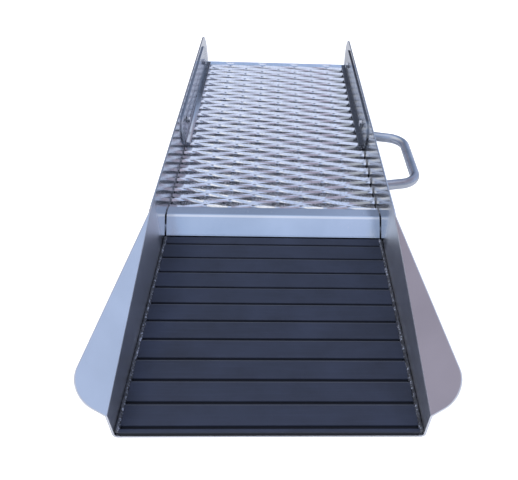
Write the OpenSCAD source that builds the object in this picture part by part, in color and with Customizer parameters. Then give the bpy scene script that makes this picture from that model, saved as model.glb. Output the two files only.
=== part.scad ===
// Portable stream sluice: a folded sheet trough with a ribbed intake mat, a ramp,
// a moss bed under raised mesh, two clamping strips and a carry handle.
// Lengths are in millimetres. X runs across the trough, Y from the intake to the
// tail and Z up. The origin is the middle of the trough's underside.

/* [Trough] */
// Clear width between the two side walls
inner_w = 260; // [200:1:340]
// Height of the walls over the underside
wall_h = 68; // [60:1:90]
// Length from the intake edge to the tail edge
trough_l = 818; // [780:1:1000]
// Thickness of the folded sheet
sheet_t = 2; // [1:0.5:3]
// Inside radius of the two long folds
fold_r = 2; // [1:0.5:5]
// Radius of the walls' top corners at the tail
tail_corner_r = 45; // [10:1:60]

/* [Intake wings] */
// Length of each wing's fold, measured along the trough
wing_l = 242; // [160:1:300]
// Height of the upright wall left under the wing at the intake edge
wing_base_h = 30; // [20:1:45]
// Angle by which each wing is folded outwards
wing_angle = 42; // [20:1:60]
// Radius of each wing's outer corner
wing_corner_r = 25; // [5:1:30]

/* [Intake mat] */
// Length of the rubber mat
mat_l = 268; // [200:1:300]
// Gap beside the mat that the sealant bead fills
mat_side_gap = 4; // [2:0.5:8]
// Thickness of the mat under its grooves
mat_base_t = 3.5; // [2:0.5:6]
// Height of a rib's crest over the bottom of the groove behind it
rib_h = 3; // [1:0.5:6]
// Height of a rib's low side, as a share of the height of its crest
rib_foot = 0.6; // [0.2:0.05:0.8]
// Distance from one rib's crest to the next
rib_pitch = 25; // [15:0.5:40]
// Distance from the mat's front edge to the first crest
rib_lip = 3; // [2:0.5:8]
// Width of the groove behind a rib
groove_w = 4.2; // [2.5:0.1:8]
// Length of each steep side of a groove
groove_side = 0.8; // [0.4:0.1:1]
// Height of the sealant bead against the wall
bead_h = 7; // [4:0.5:10]

/* [Ramp] */
// Gap between the mat's end and the foot of the ramp
ramp_gap = 1; // [0.5:0.5:4]
// Thickness of the ramp's sheet
ramp_t = 1.5; // [1:0.5:3]
// Length of the ramp from its foot to the edge of its lip
ramp_l = 43; // [38:1:70]
// Slope of the ramp's face
ramp_angle = 42; // [30:1:60]
// Radius of the ramp's folds, to the middle of the sheet
ramp_fold_r = 7; // [3:0.5:10]
// Radius of the fold between the ramp's foot and its slope
ramp_heel_r = 3; // [1:0.5:4]
// Height of the ramp's lip over the mesh behind it
ramp_over = 0.5; // [0:0.5:2]
// Length of the foot that the rivets hold
ramp_foot_l = 22; // [18:1:30]
// Distance between the ramp's rivets
rivet_pitch = 90; // [60:1:95]
// Diameter of a rivet's shank
rivet_d = 4; // [3:0.5:5]
// Diameter of a rivet's countersunk head
rivet_head_d = 7.5; // [6:0.5:9]
// Diameter of the rivets' upset tails on the ramp's foot
rivet_tail_d = 6.4; // [5:0.2:8]

/* [Moss and mesh] */
// Length of the mesh and of the moss under it
bed_l = 484; // [440:1:520]
// Gap between the ramp's lip and the mesh
bed_front_gap = 1; // [0.5:0.5:5]
// Gap between the mesh and each wall
bed_side_gap = 1; // [0.5:0.5:4]
// Thickness of the moss mat
moss_t = 11.5; // [6:0.5:14]
// Overall height of the raised mesh
mesh_t = 6.5; // [4:0.5:12]
// Long way of one diamond of the mesh
mesh_lw = 60; // [40:1:80]
// Short way of one diamond of the mesh
mesh_sw = 24.4; // [18:0.1:36]
// Width of a strand, seen from above
strand_w = 4.5; // [3:0.5:7]
// Length of the solid knuckle between two diamonds
bond_l = 12; // [6:1:20]
// Width of the rim that joins the cut strands round the mesh
edge_w = 1.5; // [1:0.5:4]

/* [Clamping strips] */
// Length of a strip's flange
strip_l = 312; // [280:1:400]
// Distance from the flange's end to the mesh's tail edge
strip_tail_inset = 10; // [5:1:40]
// Thickness of a strip
strip_t = 2; // [1:0.5:3]
// Width of the flange that presses on the mesh
strip_flange_w = 8; // [6:0.5:20]
// Height of a strip
strip_h = 39; // [34:1:44]
// Radius of the fold, to the middle of the sheet
strip_fold_r = 2; // [1.5:0.5:4]
// Radius of the strip's top corner at the tail
strip_tail_r = 36; // [5:1:38]
// Length of the flange's taper at the strip's near end
strip_foot_l = 24; // [5:1:60]
// Height of the screws over the flange's underside
screw_h = 22; // [20:0.5:26]
// Distance from the flange's intake end to the first screw
screw_front_y = 28; // [15:1:60]
// Distance from the flange's tail end to the last screw
screw_tail_y = 57; // [45:1:90]
// Travel that the slots give a strip
lift = 8; // [4:0.5:10]

/* [Clamping screws] */
// Diameter of a screw
screw_d = 5; // [4:0.5:6]
// Width of a screw's hexagonal head across its flats
head_af = 8; // [7:0.5:10]
// Height of a screw's head
head_h = 3.5; // [2.5:0.5:5]
// Diameter of a washer
washer_d = 10; // [9:0.5:14]
// Thickness of a washer
washer_t = 1; // [0.5:0.5:2]
// Diameter of a clinch nut outside the wall
nut_d = 10; // [9:0.5:12]
// Height of a clinch nut outside the wall
nut_h = 4; // [3:0.5:6]
// Diameter of the nut's boss in the wall
nut_boss_d = 7; // [6.5:0.5:8]

/* [Carry handle] */
// Diameter of the handle's rod
rod_d = 12; // [8:0.5:16]
// Distance between the handle's two ends at the wall
handle_span = 128; // [100:1:160]
// Distance from the wall to the middle of the grip
handle_reach = 43; // [35:1:60]
// Angle by which the handle's legs lean towards each other
handle_lean = 12; // [0:1:20]
// Radius of the handle's bends, to the middle of the rod
handle_bend_r = 24; // [16:1:26]
// Height of the rod's middle over the underside
handle_z = 52; // [25:1:56]
// Distance from the intake edge to the middle of the handle
handle_y = 381; // [330:1:450]
// Width of the weld bead round each end
weld_w = 3; // [1:0.5:5]

/* [Hidden] */
$fn = 64;
// Gap between faces that slide on each other
slide_gap = 0.2;
// Gap round a part that turns in a hole
turn_gap = 0.05;
// Overshoot of a cutting shape past the face that it cuts
cut = 1;
// Steps in a fold of sheet
fold_steps = 8;
half_w = inner_w / 2;
outer_w = half_w + sheet_t;
// Heights of the layers in the bed
moss_z = sheet_t + slide_gap;
mesh_z = moss_z + moss_t + slide_gap;
mesh_top = mesh_z + mesh_t;
flange_z = mesh_top + slide_gap;
// Places along the trough, from the intake edge
ramp_y = mat_l + ramp_gap;
bed_y = ramp_y + ramp_l + bed_front_gap;
flange_y1 = bed_y + bed_l - strip_tail_inset;
flange_y0 = flange_y1 - strip_l;
foot_cut_w = strip_flange_w - strip_t - strip_fold_r;
screw_z = flange_z + screw_h;
screw_y = [flange_y0 + screw_front_y, flange_y1 - screw_tail_y];
// Planes of the screw's stack, from the middle of the trough
leg_x = half_w - slide_gap;
washer_x = leg_x - strip_t - slide_gap / 2;
head_x = washer_x - washer_t;
rivet_y = ramp_y + ramp_foot_l - rivet_head_d;
wing_slope = atan2(wall_h - wing_base_h, wing_l);
// Place of the mesh's diamonds across the trough, as a share of their long way
mesh_shift = 0.57;

// Moves what is drawn from the intake edge to the middle of the trough
module from_intake() {
    translate([0, -trough_l / 2, 0]) children();
}

// Draws its children at the right, or mirrored at the left
module on_side(side) {
    if (side == "left") mirror([1, 0, 0]) children();
    else children();
}

// Stretches an outline drawn in (Y, Z) across the trough, from x0 to x1
module across(x0, x1) {
    translate([x0, 0, 0]) rotate([90, 0, 90]) linear_extrude(x1 - x0) children();
}

// Stretches an outline drawn in (X, Z) along the trough, from y0 to y1
module along(y0, y1) {
    translate([0, y1, 0]) rotate([90, 0, 0]) linear_extrude(y1 - y0) children();
}

// A shaft that points out of the right wall, from x0 to x1
module shaft(x0, x1, r, n = $fn) {
    translate([x0, 0, 0]) rotate([0, 90, 0]) cylinder(r = r, h = x1 - x0, $fn = n);
}

function unit(v) = v / norm(v);
function left_of(v) = [-v.y, v.x];
function turn(a, b) = a.x * b.y - a.y * b.x;

// Points of the arc of radius r that rounds the corner b between a and c
function fold(a, b, c, r) =
    let (u = unit(a - b), v = unit(c - b), s = sign(turn(b - a, c - b)),
         half = acos(u * v) / 2, start = b + u * r / tan(half),
         centre = start + s * r * left_of(unit(b - a)), sweep = s * (180 - 2 * half))
    [for (i = [0:fold_steps]) let (t = sweep * i / fold_steps, d = start - centre)
        centre + [d.x * cos(t) - d.y * sin(t), d.x * sin(t) + d.y * cos(t)]];

// Middle line of a sheet folded at every inner point of the path p
function folded(p, r) = let (n = len(p) - 1)
    concat([p[0]], [for (i = [1:n - 1]) each fold(p[i - 1], p[i], p[i + 1], r)], [p[n]]);

// Direction of the line m at its point i
function heading(m, i) =
    let (n = len(m) - 1) unit(m[min(i + 1, n)] - m[max(i - 1, 0)]);

// Outline of a sheet of thickness t with the middle line m
module sheet_outline(m, t) {
    n = len(m) - 1;
    polygon(concat([for (i = [0:n]) m[i] + left_of(heading(m, i)) * t / 2],
        [for (i = [n:-1:0]) m[i] - left_of(heading(m, i)) * t / 2]));
}

// Corner of a square plate at the origin, outside a quarter circle of radius r
module corner_cut(r) {
    difference() {
        translate([-r, -r]) square(r + cut);
        translate([-r, -r]) circle(r);
    }
}

// ---- Trough ----

// Flat blank of one wing in (Y, Z), up to its fold
module wing_blank() {
    difference() {
        polygon([[0, wing_base_h], [wing_l, wall_h], [0, wall_h]]);
        translate([0, wall_h]) mirror([1, 0]) corner_cut(wing_corner_r);
    }
}

// Right wing, turned outwards about its fold, with the outside of the fold filled
module wing() {
    axis = [0, cos(wing_slope), sin(wing_slope)];
    fold_l = norm([wing_l, wall_h - wing_base_h]);
    translate([outer_w, 0, wing_base_h]) {
        rotate(a = wing_angle, v = axis)
            translate([0, 0, -wing_base_h]) across(-sheet_t, 0) wing_blank();
        translate(-axis * turn_gap) rotate([wing_slope - 90, 0, 0])
            linear_extrude(fold_l + 2 * turn_gap) wing_fold();
    }
}

// Section of the fold's filling: a pie slice that reaches a little into both sheets
module wing_fold() {
    r = sheet_t - turn_gap / 10;
    polygon(concat([[turn_gap / 10, turn_gap], [-r, turn_gap]],
        [for (i = [0:fold_steps]) let (a = wing_angle * i / fold_steps)
            [-r * cos(a), -r * sin(a)]],
        [[-r * cos(wing_angle) + turn_gap, -r * sin(wing_angle) - turn_gap]]));
}

module trough_body() color("lightsteelblue") from_intake() {
    mid = sheet_t / 2;
    section = folded([[-half_w - mid, wall_h], [-half_w - mid, mid],
        [half_w + mid, mid], [half_w + mid, wall_h]], fold_r + mid);
    difference() {
        along(0, trough_l) sheet_outline(section, sheet_t);
        across(-outer_w - cut, outer_w + cut) {
            polygon([[-cut, wing_base_h], [0, wing_base_h], [wing_l, wall_h],
                [wing_l, wall_h + cut], [-cut, wall_h + cut]]);
            translate([trough_l, wall_h]) corner_cut(tail_corner_r);
        }
        for (side = ["left", "right"], y = screw_y) on_side(side)
            translate([0, y, screw_z])
                shaft(half_w - cut, outer_w + cut, nut_boss_d / 2 + turn_gap);
        for (x = [-1:1]) translate([x * rivet_pitch, rivet_y, 0]) rivet_hole();
    }
    for (side = ["left", "right"]) on_side(side) wing();
}

// ---- Intake mat ----

// Number of the mat's last rib that has a whole groove behind it
function last_rib() = floor((mat_l - rib_lip - groove_w) / rib_pitch);
function crest(i) = rib_lip + i * rib_pitch;

// Section of the mat: each rib rises towards the tail, then drops into a groove
module mat_section() {
    top = mat_base_t + rib_h;
    foot = mat_base_t + rib_h * rib_foot;
    rest = mat_l - crest(last_rib()) - groove_w;
    end_h = foot + (top - foot) * rest / (rib_pitch - groove_w);
    polygon(concat([[0, 0], [0, top - rib_h / 4]],
        [for (i = [0:last_rib()]) each [[crest(i), top],
            [crest(i) + groove_side, mat_base_t],
            [crest(i) + groove_w - groove_side, mat_base_t],
            [crest(i) + groove_w, foot]]],
        [[mat_l, end_h], [mat_l, 0]]));
}

module intake_mat() color("dimgray") from_intake() {
    half_mat = half_w - mat_side_gap;
    across(-half_mat, half_mat) translate([0, sheet_t]) mat_section();
}

// Bead of sealant between the mat's edge and the wall, clear of the fold
module sealant(side) color("slategray") from_intake() on_side(side) {
    x0 = half_w - mat_side_gap;
    x1 = half_w - slide_gap / 4;
    low = min(fold_r, mat_side_gap / 2);
    along(0, mat_l) translate([0, sheet_t])
        polygon([[x0, 0], [x1 - low, 0], [x1, low], [x1, bead_h],
            [(x0 + x1) / 2, bead_h - 1], [x0, mat_base_t + 1]]);
}

// ---- Ramp ----

module front_ramp() color("lightsteelblue") from_intake() {
    mid = ramp_t / 2;
    low = sheet_t + mid;
    high = mesh_top + ramp_over - mid;
    run = (high - low) / tan(ramp_angle);
    heel = ramp_y + mid / tan(ramp_angle / 2);
    side = [[heel + ramp_foot_l, low], [heel, low], [heel + run, high],
        [ramp_y + ramp_l, high]];
    line = concat([side[0]], fold(side[0], side[1], side[2], ramp_heel_r),
        fold(side[1], side[2], side[3], ramp_fold_r), [side[3]]);
    half_ramp = half_w - bed_side_gap;
    difference() {
        across(-half_ramp, half_ramp) sheet_outline(line, ramp_t);
        for (x = [-1:1]) translate([x * rivet_pitch, rivet_y, sheet_t - cut])
            cylinder(r = rivet_d / 2 + turn_gap, h = ramp_t + 2 * cut);
        along(ramp_y, ramp_y + ramp_foot_l + ramp_l) for (side = [-1, 1])
            polygon([[side * (half_ramp + cut), sheet_t - cut],
                [side * (half_ramp - fold_r), sheet_t - cut],
                [side * (half_ramp - fold_r), sheet_t],
                [side * (half_ramp + cut), sheet_t + fold_r + cut]]);
    }
}

// Countersunk hole for a rivet in the floor, from the underside up
module rivet_hole() {
    translate([0, 0, -cut]) cylinder(r = rivet_head_d / 2 + turn_gap, h = cut);
    cylinder(r1 = rivet_head_d / 2 + turn_gap, r2 = rivet_d / 2 + turn_gap, h = sheet_t / 2);
    cylinder(r = rivet_d / 2 + turn_gap, h = sheet_t + cut);
}

module ramp_rivets() color("silver") from_intake() {
    top = sheet_t + ramp_t;
    for (x = [-1:1]) translate([x * rivet_pitch, rivet_y, 0]) {
        cylinder(r1 = rivet_head_d / 2, r2 = rivet_d / 2, h = sheet_t / 2);
        cylinder(r = rivet_d / 2, h = top + ramp_t / 2);
        translate([0, 0, top + turn_gap])
            cylinder(r1 = rivet_tail_d / 2, r2 = rivet_d / 2, h = ramp_t);
    }
}

// ---- Bed ----

module miners_moss() color("dimgray") from_intake() {
    half_bed = half_w - bed_side_gap;
    translate([0, bed_y, moss_z]) along(0, bed_l)
        polygon([[-half_bed + fold_r, 0], [half_bed - fold_r, 0], [half_bed, fold_r],
            [half_bed, moss_t], [-half_bed, moss_t], [-half_bed, fold_r]]);
}

// Six-sided opening between four knuckles of the mesh
module diamond() {
    a = (mesh_lw - bond_l) / 2;
    b = (mesh_sw - strand_w) / 2;
    polygon([[-a, 0], [-bond_l / 4, b], [bond_l / 4, b], [a, 0], [bond_l / 4, -b],
        [-bond_l / 4, -b]]);
}

module riffle_mesh() color("gainsboro") from_intake() {
    half_bed = half_w - bed_side_gap;
    rows = ceil(2 * bed_l / mesh_sw) + 1;
    columns = ceil(half_w / mesh_lw) + 1;
    translate([0, bed_y, mesh_z]) linear_extrude(mesh_t) difference() {
        translate([-half_bed, 0]) square([2 * half_bed, bed_l]);
        intersection() {
            translate([edge_w - half_bed, edge_w])
                square([2 * (half_bed - edge_w), bed_l - 2 * edge_w]);
            for (row = [0:rows], column = [-columns:columns])
                translate([(column + mesh_shift - (row % 2) / 2) * mesh_lw,
                    row * mesh_sw / 2]) diamond();
        }
    }
}

// ---- Clamping strips ----

// Side view of a strip in (Y, Z): a leg with a round tip, and the flange below
module strip_side() {
    tip_r = strip_h / 2;
    difference() {
        union() {
            translate([flange_y0, flange_z + tip_r]) circle(tip_r);
            translate([flange_y0, flange_z]) square([strip_l, strip_h]);
        }
        translate([flange_y1, flange_z + strip_h]) corner_cut(strip_tail_r);
    }
}

module clamp_strip(side) color("slategray") from_intake() on_side(side) {
    mid = strip_t / 2;
    line = folded([[leg_x - strip_flange_w, flange_z + mid], [leg_x - mid, flange_z + mid],
        [leg_x - mid, flange_z + strip_h + cut]], strip_fold_r);
    slot_r = screw_d / 2 + slide_gap;
    difference() {
        intersection() {
            along(flange_y0 - strip_h, flange_y1) sheet_outline(line, strip_t);
            across(0, half_w) strip_side();
        }
        for (y = screw_y) translate([0, y, screw_z]) {
            shaft(leg_x - strip_t - cut, half_w, slot_r);
            translate([0, 0, -lift]) shaft(leg_x - strip_t - cut, half_w, slot_r);
            translate([leg_x - strip_t - cut, -slot_r, -lift])
                cube([strip_t + 2 * cut, 2 * slot_r, lift]);
        }
        translate([0, flange_y0 - strip_h, flange_z - cut])
            cube([leg_x - strip_fold_r - mid, strip_h, strip_h]);
        // The flange tapers to the fold at the near end
        translate([leg_x - strip_flange_w, flange_y0, flange_z - cut])
            linear_extrude(strip_t + 2 * cut) polygon([[-cut, -cut], [foot_cut_w, -cut],
                [foot_cut_w, 0], [0, strip_foot_l], [-cut, strip_foot_l]]);
    }
}

// ---- Clamping screws ----

// Places its children at a screw's middle line; place 0 is the intake's, 1 the tail's
module at_screw(side, place) {
    from_intake() on_side(side) translate([0, screw_y[place], screw_z]) children();
}

module screw(side, place) color("gainsboro") at_screw(side, place) {
    shaft(head_x - head_h, head_x, head_af / 2 / cos(30), 6);
    shaft(head_x - cut / 2, outer_w + nut_h + cut, screw_d / 2);
}

module washer(side, place) color("silver") at_screw(side, place) {
    difference() {
        shaft(head_x, washer_x, washer_d / 2);
        shaft(head_x - cut, washer_x + cut, screw_d / 2 + turn_gap);
    }
}

module clinch_nuts(side) color("silver") for (place = [0, 1]) at_screw(side, place) {
    difference() {
        union() {
            shaft(outer_w, outer_w + nut_h, nut_d / 2);
            shaft(half_w, outer_w + nut_h / 2, nut_boss_d / 2);
        }
        shaft(half_w - cut, outer_w + nut_h + cut, screw_d / 2 + turn_gap);
    }
}

// ---- Carry handle ----

// Half of the handle, from the wall to the middle of the grip, towards the tail
module half_handle() {
    turn_a = 90 - handle_lean;
    tangent = handle_bend_r * tan(turn_a / 2);
    leg = handle_reach / cos(handle_lean);
    corner_y = handle_span / 2 - handle_reach * tan(handle_lean);
    // A hair thinner than the bend, so that the leg ends inside it
    translate([0, handle_span / 2, 0]) rotate([0, 0, -handle_lean])
        shaft(-rod_d, leg - tangent + cut, rod_d / 2 - turn_gap);
    translate([handle_reach - handle_bend_r, corner_y - tangent, 0])
        rotate_extrude(angle = turn_a) translate([handle_bend_r, 0]) circle(rod_d / 2);
    translate([handle_reach, 0, 0]) rotate([-90, 0, 0])
        cylinder(r = rod_d / 2, h = corner_y - tangent);
}

module at_handle() {
    from_intake() translate([outer_w, handle_y, handle_z]) children();
}

// Everything on the trough's side of the wall's outer face
module behind_wall() {
    translate([-2 * rod_d, -handle_span, -2 * rod_d])
        cube([2 * rod_d, 2 * handle_span, 4 * rod_d]);
}

module carry_handle() color("lightslategray") at_handle() difference() {
    union() {
        half_handle();
        mirror([0, 1, 0]) half_handle();
    }
    behind_wall();
}

// Fillet weld round the end of a leg
module weld() {
    r = rod_d / 2;
    translate([0, handle_span / 2, 0]) rotate([0, 0, -handle_lean]) rotate([0, 90, 0])
        rotate_extrude() polygon([[r + turn_gap, -weld_w], [r + weld_w, -weld_w],
            [r + weld_w, 0], [r + weld_w / 2, weld_w / 2], [r + turn_gap, weld_w]]);
}

module handle_welds() color("lightslategray") at_handle() difference() {
    union() {
        weld();
        mirror([0, 1, 0]) weld();
    }
    behind_wall();
}

trough_body();
intake_mat();
sealant("left");  // sealant_left
sealant("right");  // sealant_right
front_ramp();
ramp_rivets();
miners_moss();
riffle_mesh();
clamp_strip("left");  // clamp_strip_left
clamp_strip("right");  // clamp_strip_right
screw("left", 0);  // screw_front_left
screw("left", 1);  // screw_tail_left
screw("right", 0);  // screw_front_right
screw("right", 1);  // screw_tail_right
washer("left", 0);  // washer_front_left
washer("left", 1);  // washer_tail_left
washer("right", 0);  // washer_front_right
washer("right", 1);  // washer_tail_right
clinch_nuts("left");  // clinch_nuts_left
clinch_nuts("right");  // clinch_nuts_right
carry_handle();
handle_welds();
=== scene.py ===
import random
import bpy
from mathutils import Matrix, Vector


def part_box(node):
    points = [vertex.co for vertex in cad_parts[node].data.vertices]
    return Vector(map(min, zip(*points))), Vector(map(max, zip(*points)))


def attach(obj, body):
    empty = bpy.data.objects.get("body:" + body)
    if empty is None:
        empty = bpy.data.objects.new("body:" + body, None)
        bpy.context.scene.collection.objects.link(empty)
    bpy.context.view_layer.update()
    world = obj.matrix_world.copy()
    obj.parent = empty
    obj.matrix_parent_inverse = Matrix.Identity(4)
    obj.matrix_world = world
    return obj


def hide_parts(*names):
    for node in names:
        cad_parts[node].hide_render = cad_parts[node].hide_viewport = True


bl_info = {
    "name": "Sluice box",
    "version": (1, 0, 0),
    "blender": (4, 5, 0),
    "location": "View3D > Sidebar > Sluice",
    "description": "Builds a hand sluice box piece by piece round its packed frame",
    "category": "Add Mesh",
}

from math import atan2, ceil, cos, pi, radians, sin, tan

import bmesh
import bpy
from bpy.props import (FloatProperty, FloatVectorProperty, IntProperty,
                       PointerProperty)
from mathutils import Matrix, Vector

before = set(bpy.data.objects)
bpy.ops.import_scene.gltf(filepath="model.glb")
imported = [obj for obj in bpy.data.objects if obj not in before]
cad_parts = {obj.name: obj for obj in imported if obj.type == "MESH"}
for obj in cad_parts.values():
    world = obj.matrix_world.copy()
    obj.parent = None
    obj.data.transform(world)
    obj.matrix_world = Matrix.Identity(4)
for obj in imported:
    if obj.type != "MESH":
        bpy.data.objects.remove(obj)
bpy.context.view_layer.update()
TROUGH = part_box("trough_body")
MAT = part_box("intake_mat")
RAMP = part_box("front_ramp")
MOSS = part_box("miners_moss")
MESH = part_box("riffle_mesh")
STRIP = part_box("clamp_strip_right")
INTAKE = MAT[0].y
PLACES = ("front", "tail")
SIDES = ("left", "right")
# A gap that keeps two surfaces apart, the play of a thread, and how near counts as the same
CLEAR = 0.0001
PLAY = 0.00005
HAIR = 0.00005


# ---- Sizes and colours ----


def length(name, description, default):
    """A size in metres that a user can change."""
    return FloatProperty(name=name, description=description, default=default,
                         min=0.0, unit="LENGTH", precision=4)


def angle(name, description, degrees):
    """An angle that a user can change."""
    return FloatProperty(name=name, description=description, default=radians(degrees),
                         min=0.0, subtype="ANGLE")


def colour(name, description, default):
    """A linear colour that a user can change."""
    return FloatVectorProperty(name=name, description=description, default=default,
                               size=3, min=0.0, max=1.0, subtype="COLOR")


class TroughSizes(bpy.types.PropertyGroup):
    inner_width: length("Inner width", "Distance between the walls", 0.26)
    wall_height: length("Wall height", "Height of the walls from the underside", 0.068)
    sheet: length("Sheet", "Thickness of the trough's sheet", 0.002)
    fold: length("Fold radius", "Inside radius of the folds at the floor", 0.002)
    tail_corner: length("Tail corner", "Radius of the walls' corners at the tail", 0.045)
    wing_length: length("Wing length", "Length of a wing along the wall's top", 0.242)
    wing_base: length("Wing base", "Height of a wing's fold at the intake", 0.03)
    wing_angle: angle("Wing angle", "Angle by which a wing leans outwards", 42)
    wing_corner: length("Wing corner", "Radius of a wing's front corner", 0.025)
    wing_fold: length("Wing fold", "Width of the bend along a wing's fold", 0.0009)


class MatSizes(bpy.types.PropertyGroup):
    base: length("Base", "Thickness of the mat between its ribs", 0.0035)
    rib_height: length("Rib height", "Height of a crest over the grooves", 0.003)
    rib_foot: length("Rib foot", "Height of a rib's low side over the grooves", 0.0018)
    rib_pitch: length("Rib pitch", "Distance from rib to rib", 0.025)
    lip: length("Lip", "Distance of the first crest from the intake", 0.003)
    groove: length("Groove", "Width of the groove behind a rib", 0.0042)
    groove_side: length("Groove side", "Length of a groove's steep side", 0.0008)
    crest_round: length("Crest rounding", "Width of the rounding on a crest", 0.0008)
    bead_height: length("Bead height", "Height of the sealant over the floor", 0.007)
    bead_half: length("Bead half", "Height of a bead's top over its middle", 0.0019)
    bead_lap: length("Bead lap", "Width of the sealant on the mat's edge", 0.0008)


class RampSizes(bpy.types.PropertyGroup):
    sheet: length("Sheet", "Thickness of the ramp's sheet", 0.0015)
    slope: angle("Slope", "Angle of the ramp to the floor", 42)
    fold: length("Upper fold", "Radius of the fold under the lip", 0.007)
    heel: length("Heel fold", "Width of the bend at the floor", 0.001)
    foot: length("Foot", "Length of the foot on the floor", 0.022)
    rivet_pitch: length("Rivet pitch", "Distance from rivet to rivet", 0.09)
    rivet_place: length("Rivet place", "Distance of the rivets from the intake", 0.2835)
    rivet: length("Rivet", "Diameter of a rivet", 0.004)
    rivet_head: length("Rivet head", "Diameter of a rivet's sunk head", 0.0075)
    rivet_sink: length("Rivet sink", "Depth of a rivet's sunk head", 0.0004)
    rivet_dome: length("Rivet dome", "Height of each step of a rivet's dome", 0.0006)


class BedSizes(bpy.types.PropertyGroup):
    long_way: length("Long way", "Distance between knuckles across the trough", 0.06)
    row: length("Row", "Distance from one row of knuckles to the next", 0.0122)
    strand: length("Strand", "Width of a strand of the mesh", 0.0043)
    sheet: length("Sheet", "Thickness of the mesh's sheet", 0.0014)
    bar: length("Tail bar", "Width of the uncut bar at the mesh's tail", 0.009)
    tilt: angle("Tilt", "Angle of the strands to the floor", 40)
    knuckle: length("Knuckle", "Length of a knuckle", 0.0075)
    shift: length("Shift", "Place of a knuckle of the first row", 0.0042)
    grid: length("Pad grid", "Grid of the pad's lumpy top", 0.002)
    loop: length("Loop", "Radius of a loop of the pad's fibre", 0.0042)
    fibre: length("Fibre", "Thickness of the pad's fibre", 0.0006)
    pad_dip: length("Pad dip", "Depth of the pad's flat top under its space's top", 0.003)
    pad_rim: length("Pad rim", "Width of the rim of the pad that stays flat", 0.001)
    clumps: IntProperty(name="Clumps", description="Number of clumps of fibre",
                        default=150, min=1)
    loops: IntProperty(name="Loops", description="Number of loops in a clump",
                       default=9, min=1)


class StripSizes(bpy.types.PropertyGroup):
    sheet: length("Sheet", "Thickness of a strip", 0.002)
    flange: length("Flange", "Width of the flange on the mesh", 0.008)
    fold: length("Fold", "Outside radius of the fold", 0.003)
    tail_corner: length("Tail corner", "Radius of the top corner at the tail", 0.036)
    foot_taper: length("Foot taper", "Length of the flange's taper at its near end", 0.024)
    foot_width: length("Foot width", "Width of the flange at its near end", 0.004)
    slot_lift: length("Slot lift", "Length by which a strip can be lifted", 0.008)
    slot_play: length("Slot play", "Gap between a screw and its slot's side", 0.0002)


class ScrewSizes(bpy.types.PropertyGroup):
    shank: length("Shank", "Diameter of a screw", 0.005)
    head: length("Head", "Width of a head across its flats", 0.008)
    head_rim: length("Head rim", "Width of the rim round a head's dish", 0.0006)
    head_dish: length("Head dish", "Width of the slope into a head's dish", 0.0014)
    dish_depth: length("Dish depth", "Depth of a head's dish", 0.0005)
    nut_boss: length("Nut boss", "Diameter of a nut's boss in the wall", 0.007)


class HandleSizes(bpy.types.PropertyGroup):
    rod: length("Rod", "Diameter of the rod", 0.012)
    span: length("Span", "Distance between the ends at the wall", 0.128)
    reach: length("Reach", "Distance from the wall to the grip", 0.043)
    lean: angle("Lean", "Angle by which the legs lean together", 12)
    bend: length("Bend", "Radius of the bends", 0.024)
    height: length("Height", "Height of the rod over the underside", 0.052)
    place: length("Place", "Distance of the handle from the intake", 0.381)
    weld: length("Weld", "Width of the weld beads", 0.003)


class Finishes(bpy.types.PropertyGroup):
    sheet: colour("Trough sheet", "Satin aluminium of the trough", (0.82, 0.84, 0.88))
    ramp: colour("Ramp sheet", "Satin aluminium of the ramp", (0.80, 0.84, 0.90))
    mesh: colour("Mesh", "Bright aluminium of the mesh", (0.90, 0.93, 1.0))
    strip: colour("Strips", "Aluminium of the clamping strips", (0.62, 0.65, 0.70))
    rod: colour("Handle", "Aluminium of the handle", (0.56, 0.59, 0.65))
    weld: colour("Welds", "Metal of the welds", (0.45, 0.47, 0.52))
    steel: colour("Fasteners", "Steel of the screws and washers", (0.78, 0.79, 0.82))
    rivet: colour("Rivets", "Aluminium of the rivets", (0.75, 0.76, 0.79))
    rubber: colour("Rubber", "Rubber of the intake mat", (0.017, 0.023, 0.045))
    moss: colour("Moss", "Fibre of the pad under the mesh", (0.10, 0.105, 0.12))
    sealant: colour("Sealant", "Sealant along the mat", (0.10, 0.11, 0.14))
    floor: colour("Floor", "Floor under the object", (0.72, 0.72, 0.72))


GROUPS = {"trough": TroughSizes, "mat": MatSizes, "ramp": RampSizes, "bed": BedSizes,
          "strip": StripSizes, "screw": ScrewSizes, "handle": HandleSizes,
          "finish": Finishes}


def sizes(group):
    """The sizes or colours of one group, as set in the scene."""
    return getattr(bpy.context.scene, "sluice_" + group)


# ---- Modelling ----


def at(x, y, z):
    """A point across the trough, along it from the intake edge, and up from the underside."""
    return Vector((x, y + INTAKE, z))


def start():
    """Leaves edit mode and deselects everything."""
    if bpy.context.object and bpy.context.object.mode != "OBJECT":
        bpy.ops.object.mode_set(mode="OBJECT")
    bpy.ops.object.select_all(action="DESELECT")


def take(*pieces):
    """Selects these pieces alone; the first is the active one."""
    start()
    for piece in pieces:
        piece.select_set(True)
    bpy.context.view_layer.objects.active = pieces[0]
    return pieces[0]


def shape(piece):
    """Opens a piece in edit mode."""
    take(piece)
    bpy.ops.object.mode_set(mode="EDIT")


def done():
    """Leaves edit mode, moves the piece's place into its mesh, and gives the piece."""
    if bpy.context.object.mode != "OBJECT":
        bpy.ops.object.mode_set(mode="OBJECT")
    bpy.ops.object.transform_apply(location=True, rotation=True, scale=True)
    return bpy.context.object


def delete(*pieces):
    """Deletes pieces that were only models or tools."""
    take(*pieces)
    bpy.ops.object.delete()


def sheet_of(name, low, high, rotation=(0, 0, 0)):
    """A flat sheet between two corners, open in edit mode. It lies flat until it's turned."""
    start()
    bpy.ops.mesh.primitive_plane_add(size=1, location=(low + high) / 2, rotation=rotation)
    piece = bpy.context.object
    piece.name = name
    size = high - low
    piece.scale = (size.z if any(rotation) else size.x, size.y, 1)
    shape(done())
    return piece


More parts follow.
